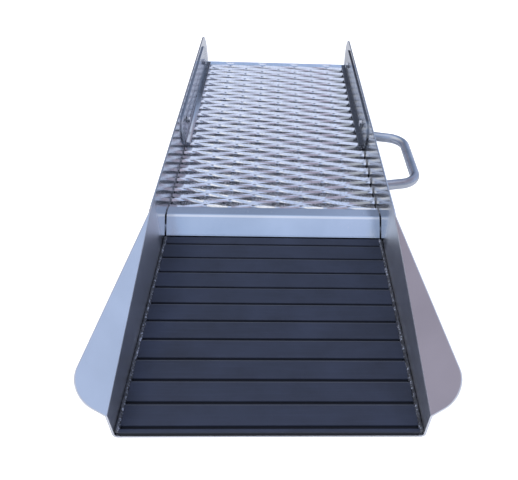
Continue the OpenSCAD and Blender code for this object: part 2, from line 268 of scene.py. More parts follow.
def round_bar(name, radius, low, high, sides=32, caps="NGON"):
    """A round bar from one point to another, open in edit mode."""
    start()
    way = high - low
    bpy.ops.mesh.primitive_cylinder_add(
        vertices=sides, radius=radius, depth=way.length, end_fill_type=caps,
        location=(low + high) / 2, rotation=turned(way))
    piece = bpy.context.object
    piece.name = name
    shape(done())
    return piece


def choose(kind, test):
    """Selects what passes the test by its middle and its direction, or a face's normal."""
    bpy.ops.mesh.select_mode(type=kind)
    bpy.ops.mesh.select_all(action="DESELECT")
    data = bpy.context.edit_object.data
    mesh = bmesh.from_edit_mesh(data)
    if kind == "VERT":
        for v in mesh.verts:
            v.select = test(v.co, v.normal)
    elif kind == "EDGE":
        for e in mesh.edges:
            a, b = e.verts[0].co, e.verts[1].co
            e.select_set(bool(test((a + b) / 2, (b - a).normalized())))
    else:
        for f in mesh.faces:
            f.select_set(bool(test(f.calc_center_median(), f.normal)))
    mesh.select_flush_mode()
    bmesh.update_edit_mesh(data)


def near(a, b, within=HAIR):
    """Whether two lengths are the same, give or take a hair."""
    return abs(a - b) < within


def extrude(x=0.0, y=0.0, z=0.0):
    """Extrudes what is selected by a distance."""
    bpy.ops.mesh.extrude_region_move(TRANSFORM_OT_translate={"value": (x, y, z)})


def bevel(width, segments=4, affect="EDGES"):
    """Rounds what is selected."""
    bpy.ops.mesh.bevel(offset=width, segments=segments, affect=affect,
                       offset_type="OFFSET", clamp_overlap=False)


def turned(way):
    """The rotation that points a shape's own upright along a way."""
    return way.to_track_quat("Z", "Y").to_euler()


def shift(x=0.0, y=0.0, z=0.0):
    """Moves what is selected."""
    bpy.ops.transform.translate(value=(x, y, z))


def press(axis, place, way):
    """Presses what stands past a place, along an axis from 0 to 2, back to that place."""
    choose("VERT", lambda c, n: (c[axis] - place) * way > 0)
    size, centre = [1, 1, 1], [0, 0, 0]
    size[axis] = 0
    centre[axis] = place
    bpy.ops.transform.resize(value=size, center_override=centre)


def bore(rim):
    """Drills a bar that lies across the trough, and leaves a rim of this width."""
    choose("FACE", lambda c, n: abs(n.x) > 0.9)
    bpy.ops.mesh.inset(thickness=rim)
    bpy.ops.mesh.bridge_edge_loops()


def cut(place, way, fill=False):
    """Cuts the open piece by a plane and drops what lies on its far side."""
    bpy.ops.mesh.select_all(action="SELECT")
    bpy.ops.mesh.bisect(plane_co=place, plane_no=way, clear_outer=True, use_fill=fill)


def close_holes():
    """Closes every opening of the piece with a face."""
    bpy.ops.mesh.select_mode(type="EDGE")
    bpy.ops.mesh.select_all(action="DESELECT")
    bpy.ops.mesh.select_non_manifold()
    bpy.ops.mesh.fill_holes(sides=0)


def outwards(within=0.00001):
    """Merges doubles and points the faces of the open piece outwards."""
    bpy.ops.mesh.select_all(action="SELECT")
    bpy.ops.mesh.remove_doubles(threshold=within)
    bpy.ops.mesh.normals_make_consistent(inside=False)


def facing(piece, wanted):
    """Turns the whole sheet round if its largest face doesn't look the wanted way."""
    bpy.ops.mesh.select_all(action="SELECT")
    bpy.ops.mesh.normals_make_consistent(inside=False)
    mesh = bmesh.from_edit_mesh(piece.data)
    mesh.faces.ensure_lookup_table()
    largest = max(mesh.faces, key=lambda f: f.calc_area())
    if largest.normal.dot(wanted) < 0:
        bpy.ops.mesh.flip_normals()


def modify(piece, kind, **settings):
    """Adds a modifier to a piece and applies it."""
    take(piece)
    bpy.ops.object.modifier_add(type=kind)
    modifier = piece.modifiers[-1]
    for name, value in settings.items():
        setattr(modifier, name, value)
    bpy.ops.object.modifier_apply(modifier=modifier.name)


def repeat(piece, count, step, within):
    """Lines up copies of a piece, each a step from the last, and merges where they meet."""
    modify(piece, "ARRAY", count=count, use_relative_offset=False,
           use_constant_offset=True, constant_offset_displace=step,
           use_merge_vertices=True, merge_threshold=within)


def thicken(piece, sheet, offset=-1.0):
    """Gives a sheet its thickness on the side away from its normals."""
    modify(piece, "SOLIDIFY", thickness=sheet, offset=offset, use_even_offset=True)


def soften(piece, width, segments=2, limit=50):
    """Breaks the sharp edges of a piece and shades it smooth."""
    modify(piece, "BEVEL", width=width, segments=segments, limit_method="ANGLE",
           angle_limit=radians(limit), use_clamp_overlap=True)
    smooth(piece, limit)


def smooth(piece, limit=40):
    """Shades a piece smooth, apart from its sharp edges, and keeps its flat faces flat."""
    take(piece)
    bpy.ops.object.shade_smooth_by_angle(angle=radians(limit))
    modify(piece, "WEIGHTED_NORMAL", keep_sharp=True, weight=100)


def copy(piece, name, move=(0, 0, 0)):
    """A copy of a piece with its own mesh, moved."""
    take(piece)
    bpy.ops.object.duplicate(linked=False)
    twin = bpy.context.object
    twin.name = name
    bpy.ops.transform.translate(value=move)
    return done()


def mirrored(piece, name):
    """A copy of a piece on the other side of the trough."""
    shape(copy(piece, name))
    bpy.ops.mesh.select_all(action="SELECT")
    bpy.ops.transform.resize(value=(-1, 1, 1), center_override=(0, 0, 0))
    bpy.ops.mesh.flip_normals()
    return done()


def join(name, *pieces):
    """Makes one piece of several."""
    piece = take(*pieces)
    if len(pieces) > 1:
        bpy.ops.object.join()
    piece.name = name
    return done()


def fit(piece, body, slot, material, *nodes):
    """Puts a finished piece on its body, with its material, in place of its CAD nodes."""
    take(piece)
    done()
    piece.data.name = piece.name
    piece.data.materials.clear()
    piece.data.materials.append(material)
    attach(piece, body)
    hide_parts(*nodes)
    return piece


def rough_up(piece, kind, scale, strength):
    """Pushes a piece's surface in and out by a cloudy pattern."""
    pattern = bpy.data.textures.new(piece.name + "_lumps", kind)
    pattern.noise_scale = scale
    modify(piece, "DISPLACE", texture=pattern, strength=strength, mid_level=0.5,
           texture_coords="GLOBAL")


# ---- Materials ----


class Shade:
    """A socket that takes part in sums, each of which adds a Math node."""

    def __init__(self, paint, socket):
        self.paint = paint
        self.socket = socket

    def sum(self, operation, *others, clamp=False):
        values = dict(enumerate(others))
        return self.paint.node("ShaderNodeMath", values, operation=operation,
                               use_clamp=clamp)

    def __add__(self, other):
        return self.sum("ADD", self, other)

    def __radd__(self, other):
        return self.sum("ADD", other, self)

    def __sub__(self, other):
        return self.sum("SUBTRACT", self, other)

    def __rsub__(self, other):
        return self.sum("SUBTRACT", other, self)

    def __mul__(self, other):
        return self.sum("MULTIPLY", self, other)

    def __rmul__(self, other):
        return self.sum("MULTIPLY", other, self)

    def __abs__(self):
        return self.sum("ABSOLUTE", self)

    def step(self, low, high):
        """0 below low and 1 above high, with a straight rise between them."""
        return self.sum("MULTIPLY", self - low, 1 / (high - low), clamp=True)


class Paint:
    """A material, or a world, and the nodes that it is made of."""

    def __init__(self, name, metallic=0.0, kind="materials"):
        self.owner = getattr(bpy.data, kind).new(name)
        self.owner.use_nodes = True
        self.tree = self.owner.node_tree
        self.shader = self.tree.nodes.get("Principled BSDF")
        if self.shader:
            self.shader.inputs["Metallic"].default_value = metallic

    def node(self, kind, values, out=0, stops=(), **settings):
        """Adds a node with its settings, then the values and links of its sockets."""
        made = self.tree.nodes.new(kind)
        for name, value in settings.items():
            setattr(made, name, value)
        if stops:
            ramp = made.color_ramp
            while len(ramp.elements) < len(stops):
                ramp.elements.new(0.5)
            for element, (place, tint) in zip(ramp.elements, stops):
                element.position = place
                element.color = (*tint, 1)
        for name, value in values.items():
            if isinstance(value, Shade):
                self.tree.links.new(value.socket, made.inputs[name])
            else:
                made.inputs[name].default_value = value
        return Shade(self, made.outputs[out]) if made.outputs else None

    def place(self, scale=(1, 1, 1)):
        """The point on the piece, stretched along each axis."""
        point = self.node("ShaderNodeTexCoord", {}, out="Object")
        return self.node("ShaderNodeMapping", {"Vector": point, "Scale": scale})

    def axis(self, which):
        """One coordinate of the point on the piece, in metres."""
        return self.node("ShaderNodeSeparateXYZ", {"Vector": self.place()}, out=which)

    def noise(self, scale, detail=3.0, stretch=(1, 1, 1), rough=0.55):
        """Cloudy values round a half."""
        return self.node("ShaderNodeTexNoise", {
            "Vector": self.place(stretch), "Scale": scale, "Detail": detail,
            "Roughness": rough})

    def cells(self, scale, stretch=(1, 1, 1)):
        """Distance to the middle of the nearest of many scattered cells."""
        return self.node("ShaderNodeTexVoronoi", {
            "Vector": self.place(stretch), "Scale": scale})

    def tint(self, dark, light, amount):
        """A colour between two colours."""
        def full(value):
            return value if isinstance(value, Shade) else (*value, 1)
        return self.node("ShaderNodeMix", {0: amount, 6: full(dark), 7: full(light)},
                         out=2, data_type="RGBA")

    def bump(self, height, distance, strength=1.0):
        """A normal from a height between 0 and 1."""
        return self.node("ShaderNodeBump", {
            "Height": height, "Distance": distance, "Strength": strength})

    def use(self, **sockets):
        """Feeds the shader's sockets, named with _ for a space, and gives the material."""
        for name, value in sockets.items():
            socket = self.shader.inputs[name.replace("_", " ").title()]
            if isinstance(value, Shade):
                self.tree.links.new(value.socket, socket)
            else:
                socket.default_value = value
        return self.owner


def shaded(tint, factor):
    """A colour made darker or lighter."""
    return tuple(min(c * factor, 1.0) for c in tint)


def sheet_metal(name, tint, rough=0.13, grain=(60, 900, 900), dull_and_painted_shade=None, scour=None):
    """Satin aluminium: rolling lines, faint clouds, scuffs, places darkened as painted shade,
    and scoured places.
    """
    paint = Paint(name, metallic=1.0)
    lines = paint.noise(1.0, 4, grain)
    clouds = paint.noise(14, 4)
    scuffs = paint.noise(1.0, 5, (900, 140, 500)).step(0.66, 0.76)
    base = paint.tint(shaded(tint, 0.93), shaded(tint, 1.04), clouds.step(0.3, 0.7))
    base = paint.tint(base, shaded(tint, 0.82), scuffs * 0.35)
    roughness = rough - 0.05 + clouds * 0.06 + lines * 0.05 + scuffs * 0.12
    # Painted shade: where the mask says, the base is darkened towards a deep shade of the
    # tint
    if dull_and_painted_shade:
        base = paint.tint(base, shaded(tint, 0.45), dull_and_painted_shade(paint))
    if scour:
        roughness = roughness + scour(paint) * 0.3
    return paint.use(base_color=base, roughness=roughness,
                     normal=paint.bump(lines, 0.00001, 0.25))


def mesh_metal(name, tint):
    """Bright expanded aluminium, streaked where it was stretched."""
    paint = Paint(name, metallic=1.0)
    streaks = paint.noise(1.0, 4, (300, 1400, 900))
    clouds = paint.noise(55, 3)
    dimples = paint.cells(420).step(0.1, 0.45)
    base = paint.tint(shaded(tint, 0.86), tint, clouds.step(0.25, 0.65))
    base = paint.tint(shaded(tint, 0.6), base, dimples * 0.5 + 0.5)
    return paint.use(base_color=base, roughness=0.1 + streaks * 0.16,
                     normal=paint.bump(streaks * 0.6 + dimples * 0.4, 0.00008, 0.35))


def rod_metal(name, tint):
    """Dull aluminium rod with lengthwise drawing lines and handling marks."""
    paint = Paint(name, metallic=1.0)
    fine = paint.noise(900, 3)
    clouds = paint.noise(40, 4)
    base = paint.tint(shaded(tint, 0.8), shaded(tint, 1.12), clouds.step(0.3, 0.7))
    return paint.use(base_color=base, roughness=0.18 + clouds * 0.1,
                     normal=paint.bump(fine, 0.00003, 0.4))


def weld_metal(name, tint):
    """Weld bead: ripples round the rod, with burnt and bright patches."""
    paint = Paint(name, metallic=1.0)
    patches = paint.noise(260, 4)
    ripples = paint.node("ShaderNodeTexWave", {
        "Vector": paint.place(), "Scale": 160.0, "Distortion": 3.0, "Detail": 2.0},
        wave_type="RINGS", out="Fac")
    base = paint.tint(shaded(tint, 0.45), shaded(tint, 1.2), patches.step(0.35, 0.65))
    return paint.use(base_color=base, roughness=0.3 + patches * 0.3,
                     normal=paint.bump(ripples, 0.0003, 0.7))


def steel(name, tint, rough=0.22):
    """Bright plated steel with turning lines and small marks."""
    paint = Paint(name, metallic=1.0)
    fine = paint.noise(1200, 3)
    marks = paint.noise(320, 4)
    base = paint.tint(shaded(tint, 0.72), tint, marks.step(0.35, 0.6))
    return paint.use(base_color=base, roughness=rough + marks * 0.14,
                     normal=paint.bump(fine, 0.00003, 0.4))


def rubber(name, tint, groove, crest):
    """Satin rubber: painted shade in the grooves, painted highlights on the crests, and
    moulding grain.
    """
    paint = Paint(name)
    height = paint.axis("Z")
    grain = paint.noise(1500, 3)
    clouds = paint.noise(26, 5)
    drawn = paint.noise(1.0, 4, (18, 700, 300))
    # Painted highlight: a thin lighter grey line along the top of each crest
    painted_crest_highlight = height.step(crest - 0.00009, crest - 0.00006)
    # Painted shade: darker, and rougher, low in the grooves
    painted_groove_shade = height.step(groove + 0.0016, groove + 0.0002)
    base = paint.tint(shaded(tint, 0.8), shaded(tint, 1.25), clouds.step(0.3, 0.7))
    base = paint.tint(base, shaded(tint, 1.9), drawn.step(0.5, 0.8) * 0.3)
    base = paint.tint(base, (0.060, 0.066, 0.076), painted_crest_highlight * (0.45 + clouds * 0.5))
    base = paint.tint(base, shaded(tint, 0.12), painted_groove_shade * 0.9)
    roughness = 0.44 + clouds * 0.16 + grain * 0.06 + painted_groove_shade * 0.3
    return paint.use(base_color=base, roughness=roughness,
                     normal=paint.bump(grain * 0.5 + drawn * 0.5, 0.00008, 0.5))


def fibre(name, tint):
    """Matt nylon fibre, light and dark from loop to loop, with grit in it."""
    paint = Paint(name)
    loops = paint.cells(460).step(0.2, 0.55)
    clouds = paint.noise(120, 4)
    grit = paint.noise(650, 2).step(0.53, 0.6)
    base = paint.tint(shaded(tint, 0.2), shaded(tint, 3.0), loops * 0.6 + clouds * 0.4)
    base = paint.tint(base, shaded(tint, 8.0), grit * 0.8)
    return paint.use(base_color=base, roughness=0.75,
                     normal=paint.bump(loops + grit * 0.4, 0.0006, 0.8))


def sealant(name, tint):
    """Smeared sealant: dark, with pale flecks and wet-looking spots."""
    paint = Paint(name)
    lumps = paint.noise(330, 4)
    # Painted shade: pale flecks only on the mat's side, so the bead stays darker where it
    # meets the wall
    side = abs(paint.axis("X")).step(MAT[1].x + 0.0022, MAT[1].x + 0.0010)
    flecks = paint.noise(520, 2).step(0.5, 0.6) * side
    spots = paint.cells(260)
    base = paint.tint(shaded(tint, 0.35), shaded(tint, 0.6), lumps.step(0.4, 0.62))
    base = paint.tint(base, shaded(tint, 4.0), flecks * 0.9)
    base = paint.tint(base, shaded(tint, 0.1), spots.step(0.35, 0.6) * 0.6)
    return paint.use(base_color=base, roughness=0.3 + lumps * 0.3,
                     normal=paint.bump(lumps, 0.0006, 0.8))


# ---- Operators ----


class SLUICE_OT_stage(bpy.types.Operator):
    """Sets the floor, the light and the camera"""
    bl_idname = "sluice.stage"
    bl_label = "Stage"

    def execute(self, context):
        scene = context.scene
        scene.view_settings.view_transform = "Standard"
        start()
        bpy.ops.mesh.primitive_plane_add(size=24, location=(0, 0, -0.0005))
        floor = context.object
        floor.name = "floor"
        done()
        paint = Paint("pale_floor")
        tone = paint.noise(3, 3)
        tint = tuple(sizes("finish").floor)
        base = paint.tint(shaded(tint, 0.98), tint, tone)
        seen = paint.node("ShaderNodeLightPath", {}, out="Is Camera Ray")
        floor.data.materials.append(paint.use(
            base_color=base, roughness=0.9, emission_strength=0.7,
            emission_color=paint.tint((0, 0, 0), (1, 1, 1), seen)))
        self.sky(scene)
        self.lamp("key", (-0.9, -1.2, 2.4), (0, 0, 0), 1.8, 34, (1.0, 0.98, 0.97))
        self.lamp("fill", (1.6, 0.9, 2.2), (0, 0, 0), 2.0, 22, (0.92, 0.95, 1.0))
        self.camera(scene)
        return {"FINISHED"}

    def lamp(self, name, place, target, size, power, tint):
        """A soft lamp that lights dull surfaces and isn't mirrored in the metal."""
        start()
        bpy.ops.object.light_add(type="AREA", location=place)
        lamp = bpy.context.object
        lamp.name = name
        lamp.data.size = size
        lamp.data.energy = power
        lamp.data.color = tint
        way = Vector(target) - Vector(place)
        lamp.rotation_euler = way.to_track_quat("-Z", "Y").to_euler()
        lamp.visible_glossy = False

    def sky(self, scene):
        """A room: a plain white backdrop, and what the metal mirrors round it."""
        paint = Paint("studio", kind="worlds")
        scene.world = paint.owner
        paint.tree.nodes.clear()
        way = paint.node("ShaderNodeTexCoord", {}, out="Generated")
        x, y, z = (paint.node("ShaderNodeSeparateXYZ", {"Vector": way}, out=axis)
                   for axis in "XYZ")
        across = x * 0.5 + 0.5
        low = paint.node("ShaderNodeValToRGB", {"Fac": across}, stops=(
            (0.15, (0.36, 0.33, 0.40)), (0.38, (0.20, 0.21, 0.27)),
            (0.5, (0.08, 0.09, 0.13)), (0.6, (0.26, 0.31, 0.43)),
            (0.72, (0.48, 0.58, 0.80)), (1.0, (0.50, 0.60, 0.82))))
        high = paint.node("ShaderNodeValToRGB", {"Fac": across}, stops=(
            (0.3, (1.0, 1.0, 1.0)), (0.38, (0.36, 0.48, 0.72)),
            (0.5, (0.42, 0.54, 0.78)), (0.6, (0.48, 0.59, 0.84)),
            (0.7, (0.40, 0.36, 0.44)), (1.0, (0.40, 0.36, 0.44))))
        near_by = paint.tint((0.45, 0.50, 0.62), low, y.step(-0.35, 0.2))
        room = paint.tint(near_by, high, z.step(0.34, 0.80))
        room = paint.tint(room, (0.76, 0.82, 0.98), z.step(0.875, 0.94))
        room = paint.tint((0.46, 0.48, 0.56), room, z.step(-0.06, 0.02))
        seen = paint.node("ShaderNodeLightPath", {}, out="Is Camera Ray")
        tint = paint.tint(room, (1.0, 1.0, 1.0), seen)
        light = paint.node("ShaderNodeBackground", {"Color": tint, "Strength": 1.0})
        paint.node("ShaderNodeOutputWorld", {"Surface": light})

    def camera(self, scene):
        """The camera, at the intake's end and over it."""
        start()
        bpy.ops.object.camera_add(
            location=(0.004366, -0.654744, 0.393087),
            rotation=(radians(45.2906), radians(-1.9082), radians(-1.3511)))
        camera = bpy.context.object
        camera.name = "view"
        camera.data.sensor_width = 36
        camera.data.lens = 36.983
        camera.data.shift_x = -0.0759
        camera.data.shift_y = 0.1387
        camera.data.clip_start = 0.01
        scene.camera = camera


class SLUICE_OT_trough(bpy.types.Operator):
    """Builds the folded trough with its two wings"""
    bl_idname = "sluice.trough"
    bl_label = "Trough"

    def execute(self, context):
        s = sizes("trough")
        half = s.inner_width / 2
        far = TROUGH[1].y - INTAKE
        piece = sheet_of("trough_shell", at(-half, 0, s.sheet), at(half, far, s.sheet))
        choose("EDGE", lambda c, d: near(abs(c.x), half))
        extrude(z=s.wall_height - s.sheet)
        slope = atan2(s.wall_height - s.wing_base, s.wing_length)
        rise = s.sheet * tan(s.wing_angle / 2)
        bpy.ops.mesh.select_all(action="SELECT")
        bpy.ops.mesh.bisect(plane_co=at(0, 0, s.wing_base + rise / cos(slope)),
                            plane_no=(0, -sin(slope), cos(slope)))
        self.open_wings(s, half, slope)
        choose("VERT", lambda c, n: abs(c.x) > half + s.sheet)
        bevel(s.wing_corner, 12, "VERTICES")
        top = at(0, far, s.wall_height)
        choose("VERT", lambda c, n: near(c.y, top.y) and near(c.z, top.z))
        bevel(s.tail_corner, 14, "VERTICES")
        choose("EDGE", lambda c, d: near(c.z, s.sheet) and near(abs(c.x), half))
        bevel(s.fold, 4)
        run = Vector((0, cos(slope), sin(slope)))
        choose("EDGE", lambda c, d: abs(d.dot(run)) > 0.9999 and near(abs(c.x), half))
        bevel(s.wing_fold, 3)
        facing(piece, Vector((0, 0, 1)))
        done()
        thicken(piece, s.sheet)
        soften(piece, 0.0003, 2, 60)
        # Painted shade darkens the inside behind the mat, more so on the right, and the
        # inside is scoured beside the mat
        inner = half + s.sheet / 4
        outer = inner + 2 * CLEAR
        bed, fade = MAT[1].y, 0.03
        material = sheet_metal(
            "satin_aluminium", sizes("finish").sheet,
            dull_and_painted_shade=lambda p: (p.axis("X").step(-half, half) * 0.35 + 0.45
                            - abs(p.axis("X")).step(inner, outer))
            * p.axis("Y").step(bed - fade, bed),
            scour=lambda p: abs(p.axis("X")).step(outer, inner)
            * p.axis("Y").step(bed, bed - fade))
        fit(piece, "trough", "trough_sheet", material, "trough_body")
        return {"FINISHED"}

    def open_wings(self, s, half, slope):
        """Moves each wing's loose corner out, as the wing turns about its fold."""
        for side in (-1, 1):
            turn = Matrix.Rotation(side * s.wing_angle, 3, (0, cos(slope), sin(slope)))
            corner = at(side * half, 0, s.wall_height)
            hinge = at(side * (half + s.sheet), 0, s.wing_base)
            choose("VERT", lambda c, n: (c - corner).length < CLEAR)
            shift(*(hinge + turn @ (corner - hinge) - corner))


class SLUICE_OT_mat(bpy.types.Operator):
    """Builds the ribbed mat at the intake and the sealant along it"""
    bl_idname = "sluice.mat"
    bl_label = "Intake mat"

    def execute(self, context):
        s = sizes("mat")
        half = MAT[1].x
        low = MAT[0].z
        far = MAT[1].y - INTAKE
        groove = low + s.base
        foot = groove + s.rib_foot
        crest = groove + s.rib_height
        ribs = int((far - s.lip - s.groove) / s.rib_pitch)
        piece = sheet_of("ribbed_mat", at(-half, s.lip + s.groove, foot),
                         at(half, s.lip + s.rib_pitch, foot))
        rear = INTAKE + s.lip + s.rib_pitch
        choose("EDGE", lambda c, d: near(c.y, rear))
        shift(z=crest - foot)
        self.groove(s)
        done()
        repeat(piece, ribs, (0, s.rib_pitch, 0), HAIR)
        self.ends(piece, s, foot, crest, far, ribs)
        choose("EDGE", lambda c, d: near(c.z, crest) and abs(d.x) > 0.9)
        bevel(s.crest_round, 3)
        choose("EDGE", lambda c, d: near(c.z, foot) and abs(d.x) > 0.9)
        bevel(s.crest_round / 2, 2)
        self.close(low, far)
        smooth(piece, 60)
        material = rubber("ribbed_rubber", sizes("finish").rubber, groove, crest)
        fit(piece, "trough", "mat_rubber", material, "intake_mat")
        self.beads(s, half, low, far)
        return {"FINISHED"}

    def groove(self, s):
        """Extrudes a groove from the crest that is selected."""
        extrude(y=s.groove_side, z=-s.rib_height)
        extrude(y=s.groove - 2 * s.groove_side)
        extrude(y=s.groove_side, z=s.rib_foot)

    def ends(self, piece, s, foot, crest, far, ribs):
        """Adds the first groove and lip, and the last part of a rib."""
        shape(piece)
        first = INTAKE + s.lip + s.groove
        choose("EDGE", lambda c, d: near(c.y, first) and abs(d.x) > 0.9)
        extrude(y=-s.groove_side, z=-s.rib_foot)
        extrude(y=2 * s.groove_side - s.groove)
        extrude(y=-s.groove_side, z=s.rib_height)
        extrude(y=-s.lip, z=-s.rib_height / 4)
        last = INTAKE + s.lip + s.groove + ribs * s.rib_pitch
        choose("EDGE", lambda c, d: near(c.y, last) and abs(d.x) > 0.9)
        rest = INTAKE + far - last
        slope = (crest - foot) / (s.rib_pitch - s.groove)
        extrude(y=rest, z=slope * rest)

    def close(self, low, far):
        """Takes the mat's outline down to the floor and closes it."""
        for place in (INTAKE, INTAKE + far):
            choose("EDGE", lambda c, d: near(c.y, place) and abs(d.x) > 0.9)
            extrude(z=-0.001)
            bpy.ops.transform.resize(value=(1, 1, 0), center_override=(0, 0, low))
        choose("VERT", lambda c, n: near(c.z, low))
        bpy.ops.mesh.edge_face_add()
        close_holes()
        outwards()
        done()

    def beads(self, s, half, low, far):
        """Lays the two lumpy beads of sealant between the mat and the walls."""
        wall = sizes("trough").inner_width / 2
        middle = (half + wall) / 2
        height = low + s.bead_height - s.bead_half
        end = 10 * CLEAR
        bead = round_bar("sealant_bead_right", (wall - half) / 2,
                         at(middle, end, height), at(middle, far - end, height), 12)
        choose("EDGE", lambda c, d: abs(d.y) > 0.9)
        bpy.ops.mesh.subdivide(number_cuts=190)
        done()
        rough_up(bead, "CLOUDS", 0.005, 0.0022)
        rough_up(bead, "CLOUDS", 0.0018, 0.0012)
        shape(bead)
        # What stands out of the gap is pressed back into it
        press(0, wall - CLEAR, 1)
        press(0, half - s.bead_lap, -1)
        done()
        smooth(bead, 50)
        twin = mirrored(bead, "sealant_bead_left")
        material = sealant("smeared_sealant", sizes("finish").sealant)
        fit(bead, "trough", "sealant", material, "sealant_right")
        fit(twin, "trough", "sealant", material, "sealant_left")


class SLUICE_OT_ramp(bpy.types.Operator):
    """Builds the folded ramp in front of the bed and its rivets"""
    bl_idname = "sluice.ramp"
    bl_label = "Ramp"

    def execute(self, context):
        s = sizes("ramp")
        half, rear = RAMP[1].x, RAMP[1].y
        low, top = RAMP[0].z, RAMP[1].z
        toe = RAMP[0].y
        run = (top - low - s.sheet) / tan(s.slope)
        # The sheet's upper face, from the foot's end to the lip
        heel = toe + s.sheet * tan(s.slope / 2)
        piece = sheet_of("ramp_plate", Vector((-half, heel, low + s.sheet)),
                         Vector((half, heel + s.foot, low + s.sheet)))
        choose("EDGE", lambda c, d: near(c.y, heel))
        extrude(y=run, z=top - low - s.sheet)
        choose("EDGE", lambda c, d: near(c.z, top) and abs(d.x) > 0.9)
        extrude(y=rear - heel - run)
        choose("EDGE", lambda c, d: near(c.z, top) and near(c.y, heel + run))
        bevel(s.fold * tan(s.slope / 2), 8)
        choose("EDGE", lambda c, d: near(c.y, heel) and near(c.z, low + s.sheet))
        bevel(s.heel, 4)
        facing(piece, Vector((0, 0, 1)))
        self.turn_foot(piece)
        done()
        thicken(piece, s.sheet)
        soften(piece, 0.00025, 2, 60)
        material = sheet_metal("ramp_aluminium", sizes("finish").ramp, 0.2,
                               (900, 60, 900))
        fit(piece, "trough", "ramp_sheet", material, "front_ramp")
        self.rivets(s, low)
        return {"FINISHED"}

    def turn_foot(self, piece):
        """Points the slope and the lip up, as the foot folds back under them."""
        mesh = bmesh.from_edit_mesh(piece.data)
        slope = max((f for f in mesh.faces if f.normal.z < 0.99),
                    key=lambda f: f.calc_area())
        if slope.normal.z < 0:
            bpy.ops.mesh.select_all(action="SELECT")
            bpy.ops.mesh.flip_normals()

    def rivets(self, s, low):
        """Sets three countersunk rivets through the floor and the foot."""
        head, body = s.rivet_head / 2, s.rivet / 2
        top = low + 2 * s.sheet
        made = []
        for n in (-1, 0, 1):
            x = n * s.rivet_pitch
            centre = at(x, s.rivet_place, 0)
            round_bar(f"rivet_{n + 1}", body, at(x, s.rivet_place, s.rivet_sink),
                      at(x, s.rivet_place, top), 24)
            choose("FACE", lambda c, d: d.z < -0.9)
            extrude(z=-s.rivet_sink)
            self.widen(head / body, centre)
            bpy.ops.mesh.inset(thickness=3 * CLEAR)
            choose("FACE", lambda c, d: d.z > 0.9)
            extrude(z=2 * CLEAR)
            self.widen(1.6, centre)
            extrude(z=s.rivet_dome)
            extrude(z=s.rivet_dome)
            self.widen(0.65, centre)
            outwards()
            made.append(done())
        piece = join("sunk_rivets", *made)
        smooth(piece, 35)
        material = steel("rivet_aluminium", sizes("finish").rivet, 0.3)
        fit(piece, "trough", "rivet", material, "ramp_rivets")

    def widen(self, by, centre):
        """Makes what is selected wider or narrower about a rivet's axis."""
        bpy.ops.transform.resize(value=(by, by, 1), center_override=centre)


class SLUICE_OT_moss(bpy.types.Operator):
    """Builds the pad of coiled fibre under the mesh"""
    bl_idname = "sluice.moss"
    bl_label = "Fibre pad"

    def execute(self, context):
        s = sizes("bed")
        low, high = MOSS
        size = high - low
        flat = high.z - s.pad_dip
        start()
        bpy.ops.mesh.primitive_grid_add(
            x_subdivisions=ceil(size.x / s.grid), y_subdivisions=ceil(size.y / s.grid),
            size=1, location=(0, (low.y + high.y) / 2, flat))
        pad = context.object
        pad.name = "pad_top"
        pad.scale = (size.x, size.y, 1)
        shape(done())
        choose("EDGE", lambda c, d: near(abs(c.x), high.x)
               or near(c.y, low.y) or near(c.y, high.y))
        extrude(z=low.z - flat)
        bpy.ops.mesh.edge_face_add()
        outwards()
        done()
        # Only the top is lumpy, so that the pad's sides stay in their space
        take(pad)
        top = pad.vertex_groups.new(name="top")
        inner = [v.index for v in pad.data.vertices
                 if v.co.z > flat - s.pad_rim and abs(v.co.x) < high.x - s.pad_rim
                 and low.y + s.pad_rim < v.co.y < high.y - s.pad_rim]
        top.add(inner, 1.0, "REPLACE")
        for scale, depth in ((0.012, 0.003), (0.0035, 0.0045)):
            lumps = bpy.data.textures.new("pad_lumps", "CLOUDS")
            lumps.noise_scale = scale
            modify(pad, "DISPLACE", texture=lumps, strength=depth, mid_level=0.55,
                   texture_coords="GLOBAL", vertex_group="top", direction="Z")
        smooth(pad, 60)
        loops = self.fibres(s, low, high)
        piece = join("moss_pad", pad, loops)
        # What stands out of the pad's space is pressed back into it
        shape(piece)
        press(2, high.z - CLEAR, 1)
        press(2, low.z, -1)
        done()
        material = fibre("coiled_fibre", sizes("finish").moss)
        fit(piece, "moss", "moss", material, "miners_moss")
        return {"FINISHED"}

    def fibres(self, s, low, high):
        """Scatters clumps of loose loops over the pad's top."""
        chance = random.Random(7)
        reach = 0.011
        loops = []
        for _ in range(s.loops):
            start()
            bpy.ops.mesh.primitive_torus_add(
                major_segments=9, minor_segments=3, minor_radius=s.fibre,
                major_radius=s.loop * chance.uniform(0.5, 1.15),
                location=[chance.uniform(-0.008, 0.008), chance.uniform(-0.008, 0.008),
                          chance.uniform(-0.0006, 0.0006)],
                rotation=[chance.uniform(-0.45, 0.45), chance.uniform(-0.45, 0.45),
                          chance.uniform(0, 6)])
            loops.append(done())
        clump = join("clump", *loops)
        made = []
        for n in range(s.clumps):
            copy(clump, f"clump_{n}")
            bpy.ops.transform.rotate(value=chance.uniform(0, 2 * pi), orient_axis="Z",
                                     center_override=(0, 0, 0))
            shift(chance.uniform(low.x + reach, high.x - reach),
                  chance.uniform(low.y + reach, high.y - reach),
                  high.z - chance.uniform(0.0022, 0.0034))
            made.append(done())
        delete(clump)
        piece = join("loops", *made)
        smooth(piece, 80)
        return piece


